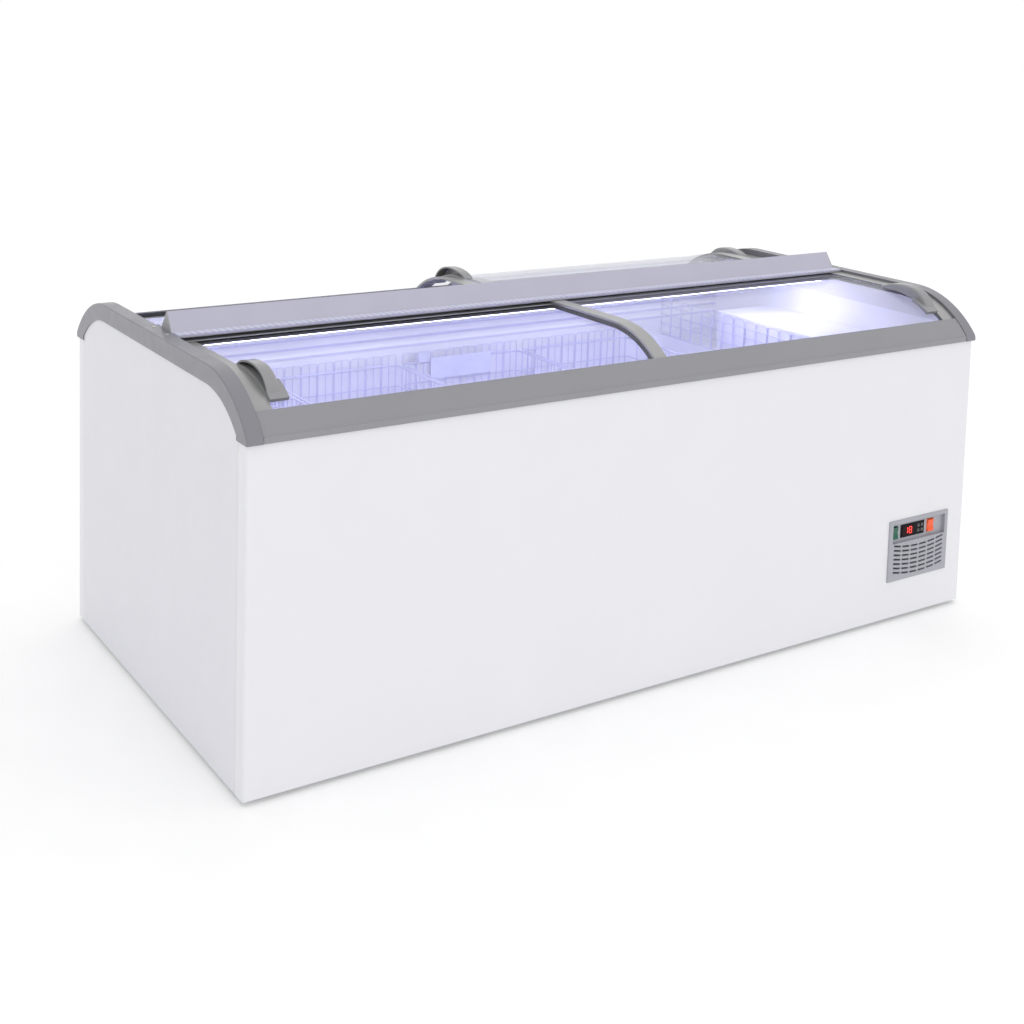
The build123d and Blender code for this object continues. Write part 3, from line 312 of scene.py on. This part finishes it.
class WireWork:
    """Wires of several thicknesses gathered into one mesh."""

    def __init__(self, name):
        self.name = name
        self.parts = []

    def wire(self, points, thickness, corner=8 * MM, closed=False):
        curve = bpy.data.curves.new(self.name + "_wire", "CURVE")
        curve.dimensions = "3D"
        curve.bevel_depth = thickness / 2
        curve.bevel_resolution = WIRE_SIDES
        curve.use_fill_caps = True
        path = rounded([Vector(point) for point in points], corner, closed)
        spline = curve.splines.new("POLY")
        spline.points.add(len(path) - 1)
        for target, point in zip(spline.points, path):
            target.co = (*point, 1)
        spline.use_cyclic_u = closed
        self.parts.append(bpy.data.objects.new(self.name + "_wire", curve))

    def mesh(self):
        work = bmesh.new()
        for part in self.parts:
            bpy.context.collection.objects.link(part)
        bpy.context.view_layer.update()
        graph = bpy.context.evaluated_depsgraph_get()
        for part in self.parts:
            work.from_mesh(part.evaluated_get(graph).to_mesh())
        for part in self.parts:
            bpy.data.objects.remove(part)
        for face in work.faces:
            face.smooth = True
        data = bpy.data.meshes.new(self.name)
        work.to_mesh(data)
        work.free()
        data.materials.append(WIRE_SHADE_PAINTED)
        made = bpy.data.objects.new(self.name, data)
        bpy.context.collection.objects.link(made)
        return made


THIN = 2.6 * MM
THICK = 5.0 * MM
RIM_Z = 0.5625
SIDE_Y = 0.426           # rows of arches along the front and the rear of a basket
ARCHES = 8
HOOPS = (0.507, 0.447, 0.387, 0.327)
CROSS_PITCH = 48 * MM
HALF_ARCH_GAP = 1.6 * MM
END_ARCH_INSET = 4 * MM
MIDDLE_WIRE = THIN * 0.8
ARCH_BEND = 9 * MM
HOOP_BEND = 25 * MM
RIM_BEND = 18 * MM
HOOK_BEND = 10 * MM
HOOK_START = 30 * MM     # from each end of the basket to the hooks on its long sides
HOOK_DROP = 3 * MM


def basket_wires(number):
    """A basket of coated wire: arched U wires, cross wires, hoops and a thick rim."""
    low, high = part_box(f"basket_{number}")
    inset = THICK / 2
    left, right = low.x + inset, high.x - inset
    floor = low.z + THIN / 2
    top = high.z - THIN / 2
    work = WireWork(f"basket_wires_{number}")
    pitch = (right - left) / ARCHES
    for arch in range(ARCHES):
        near = left + pitch * arch + HALF_ARCH_GAP
        far = left + pitch * (arch + 1) - HALF_ARCH_GAP
        if arch == 0:
            near = left + END_ARCH_INSET
        if arch == ARCHES - 1:
            far = right - END_ARCH_INSET
        loop = [(near, SIDE_Y, top), (near, SIDE_Y, floor), (near, -SIDE_Y, floor), (near, -SIDE_Y, top),
                (far, -SIDE_Y, top), (far, -SIDE_Y, floor), (far, SIDE_Y, floor), (far, SIDE_Y, top)]
        work.wire(loop, THIN, ARCH_BEND, True)
        middle = (near + far) / 2
        work.wire([(middle, SIDE_Y, top), (middle, SIDE_Y, floor), (middle, -SIDE_Y, floor),
                   (middle, -SIDE_Y, top)], MIDDLE_WIRE, ARCH_BEND)
    inner_y = SIDE_Y - THIN
    for level in HOOPS:
        work.wire([(left, -inner_y, level), (right, -inner_y, level), (right, inner_y, level),
                   (left, inner_y, level)], THIN, HOOP_BEND, True)
    rim_y = high.y - THICK / 2
    work.wire([(left, -inner_y, RIM_Z), (right, -inner_y, RIM_Z), (right, inner_y, RIM_Z),
               (left, inner_y, RIM_Z)], THICK, RIM_BEND, True)
    for side in (-1, 1):
        hook_z = RIM_Z - HOOK_DROP
        work.wire([(left + HOOK_START, side * inner_y, RIM_Z), (left + HOOK_START, side * rim_y, hook_z),
                   (right - HOOK_START, side * rim_y, hook_z), (right - HOOK_START, side * inner_y, RIM_Z)],
                  THICK, HOOK_BEND)
    rows = int(2 * inner_y / CROSS_PITCH)
    for row in range(1, rows):
        y = -inner_y + row * 2 * inner_y / rows
        work.wire([(left, y, RIM_Z), (left, y, floor + THIN), (right, y, floor + THIN), (right, y, RIM_Z)],
                  THIN, ARCH_BEND)
    made = work.mesh()
    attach(made, f"basket_{number}")
    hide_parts(f"basket_{number}")


for number in (1, 2, 3, 4):
    basket_wires(number)


GUARD_GAP = 2 * MM
GUARD_BEND = 12 * MM
GUARD_LEVELS = (0.590, 0.619, 0.645)


def guard_wires():
    """The upright grid of arched wires along the foot of the raised step."""
    low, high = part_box("end_guard")
    x = (low.x + high.x) / 2
    top = high.z - THIN / 2
    foot = low.z + THIN / 2
    work = WireWork("end_guard_wires")
    count = round((high.y - low.y) / CROSS_PITCH)
    pitch = (high.y - low.y) / count
    for arch in range(count):
        near = low.y + pitch * arch + GUARD_GAP
        far = near + pitch - 2 * GUARD_GAP
        work.wire([(x, near, foot), (x, near, top), (x, far, top), (x, far, foot)], THIN, GUARD_BEND)
    for level in (foot, *GUARD_LEVELS):
        work.wire([(x - THIN, low.y + THIN, level), (x - THIN, high.y - THIN, level)], THIN)
    made = work.mesh()
    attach(made, "cabinet")
    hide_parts("end_guard")


guard_wires()


# ---- plates and digits ----

PLATE_BEVEL = 0.6 * MM


def plate(name, low, high, look, body):
    """A thin plate with softened edges between two corners."""
    work = bmesh.new()
    middle = (Vector(low) + Vector(high)) / 2
    size = Vector(high) - Vector(low)
    place = Matrix.Translation(middle) @ Matrix.Diagonal((*size, 1))
    bmesh.ops.create_cube(work, size=1, matrix=place)
    bmesh.ops.bevel(work, geom=work.edges[:], offset=PLATE_BEVEL, segments=2, affect="EDGES")
    data = bpy.data.meshes.new(name)
    work.to_mesh(data)
    work.free()
    for face in data.polygons:
        face.use_smooth = False
    data.materials.append(look)
    made = bpy.data.objects.new(name, data)
    bpy.context.collection.objects.link(made)
    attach(made, body)


PLATE_Y = SIDE_Y - 5 * MM
PLATE_BACK_Y = PLATE_Y + 2 * MM
plate("label_holder_long", (-0.077, PLATE_Y, 0.512), (0.114, PLATE_BACK_Y, 0.571),
      LABEL, "basket_3")
plate("label_holder_short", (-0.114, PLATE_Y, 0.563), (-0.082, PLATE_BACK_Y, 0.591),
      LABEL, "basket_3")

SEGMENTS = {
    "a": ((0, 1), (1, 1)), "b": ((1, 1), (1, 0)), "c": ((1, 0), (1, -1)), "d": ((0, -1), (1, -1)),
    "e": ((0, 0), (0, -1)), "f": ((0, 1), (0, 0)), "g": ((0, 0), (1, 0)),
}
DIGITS = ("bc", "abcdefg")
DIGIT_WIDTH = 9 * MM
DIGIT_HALF = 8 * MM
SEGMENT = 1.5 * MM
SEGMENT_JOIN = 1.1       # share of a segment's width left free where two meet
DIGIT_GAP = 6 * MM
DIGIT_PROUD = 0.1 * MM
DIGIT_THICKNESS = 0.3 * MM


def display_digits():
    """A lit two-figure readout that stands just proud of the smoked window."""
    low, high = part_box("display_window")
    face = low.y
    centre_z = (low.z + high.z) / 2
    start = (low.x + high.x) / 2 - DIGIT_WIDTH - DIGIT_GAP / 2
    work = bmesh.new()
    for place, lit in enumerate(DIGITS):
        base = start + place * (DIGIT_WIDTH + DIGIT_GAP)
        for name in lit:
            (x1, z1), (x2, z2) = SEGMENTS[name]
            first = Vector((base + x1 * DIGIT_WIDTH, face - DIGIT_PROUD, centre_z + z1 * DIGIT_HALF))
            last = Vector((base + x2 * DIGIT_WIDTH, face - DIGIT_PROUD, centre_z + z2 * DIGIT_HALF))
            size = last - first
            spread = Vector((abs(size.x) or SEGMENT, DIGIT_THICKNESS, abs(size.z) or SEGMENT))
            if abs(size.x) > abs(size.z):
                spread.x -= SEGMENT * SEGMENT_JOIN
            else:
                spread.z -= SEGMENT * SEGMENT_JOIN
            place_at = Matrix.Translation((first + last) / 2) @ Matrix.Diagonal((*spread, 1))
            bmesh.ops.create_cube(work, size=1, matrix=place_at)
    data = bpy.data.meshes.new("display_digits")
    work.to_mesh(data)
    work.free()
    data.materials.append(DIGIT)
    made = bpy.data.objects.new("display_digits", data)
    bpy.context.collection.objects.link(made)
    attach(made, "cabinet")


display_digits()


# ---- floor, light and camera ----

floor_mesh = bpy.data.meshes.new("studio_floor")
FLOOR_HALF = 30
floor_mesh.from_pydata([(-FLOOR_HALF, -FLOOR_HALF, 0), (FLOOR_HALF, -FLOOR_HALF, 0),
                        (FLOOR_HALF, FLOOR_HALF, 0), (-FLOOR_HALF, FLOOR_HALF, 0)], [], [(0, 1, 2, 3)])
floor = bpy.data.objects.new("studio_floor", floor_mesh)
bpy.context.collection.objects.link(floor)
floor_paint = finish("studio_floor_paint", (0.93, 0.93, 0.93), 0.8, mottle=0.004, grain=60, bump=0.02,
                     glow=(1.0, 1.0, 1.0), glow_strength=0.16)
floor_mesh.materials.append(floor_paint)

SKY_LEFT = 0.72          # strength of the surroundings on the cabinet's left
SKY_RIGHT = 1.0
world = bpy.data.worlds.new("studio")
bpy.context.scene.world = world
world.use_nodes = True
sky = world.node_tree
sky_place = sky.nodes.new("ShaderNodeTexCoord")
sky_split = sky.nodes.new("ShaderNodeSeparateXYZ")
sky.links.new(sky_place.outputs["Generated"], sky_split.inputs[0])
sky_range = sky.nodes.new("ShaderNodeMapRange")
sky_range.inputs["From Min"].default_value = -1.0
sky_range.inputs["From Max"].default_value = 0.1
sky_range.inputs["To Min"].default_value = SKY_LEFT
sky_range.inputs["To Max"].default_value = SKY_RIGHT
sky.links.new(sky_split.outputs["X"], sky_range.inputs["Value"])
sky.links.new(sky_range.outputs["Result"], sky.nodes["Background"].inputs["Strength"])
sky.nodes["Background"].inputs["Color"].default_value = (1.0, 1.0, 1.0, 1)


def soft_light(name, place, target, size, power, colour):
    """A large soft panel aimed at a point."""
    data = bpy.data.lights.new(name, "AREA")
    data.shape = "RECTANGLE"
    data.size, data.size_y = size
    data.energy = power
    data.color = colour
    lamp = bpy.data.objects.new(name, data)
    lamp.location = place
    lamp.rotation_mode = "QUATERNION"
    lamp.rotation_quaternion = (Vector(target) - Vector(place)).to_track_quat("-Z", "Y")
    bpy.context.collection.objects.link(lamp)


soft_light("key_panel", (-1.5, -4.5, 3.4), (0, 0, 0.5), (3.0, 2.0), 10, (1.0, 0.99, 0.98))

CAMERA_AT = (-2.0673, -3.0576, 1.5249)
CAMERA_RIGHT = Vector((0.82774, -0.56027, 0.03070))
CAMERA_UP = Vector((0.03114, 0.10051, 0.99445))
camera_data = bpy.data.cameras.new("camera")
camera_data.sensor_width = 36
camera_data.lens = 52.924
camera_data.shift_x = -0.0401
camera_data.shift_y = -0.3442
camera = bpy.data.objects.new("camera", camera_data)
camera_back = CAMERA_RIGHT.cross(CAMERA_UP)
turn = Matrix((CAMERA_RIGHT, CAMERA_UP, camera_back)).transposed()
camera.matrix_world = Matrix.Translation(CAMERA_AT) @ turn.to_4x4()
bpy.context.collection.objects.link(camera)
bpy.context.scene.camera = camera
bpy.context.scene.view_settings.view_transform = "Standard"
bpy.context.scene.view_settings.look = "None"
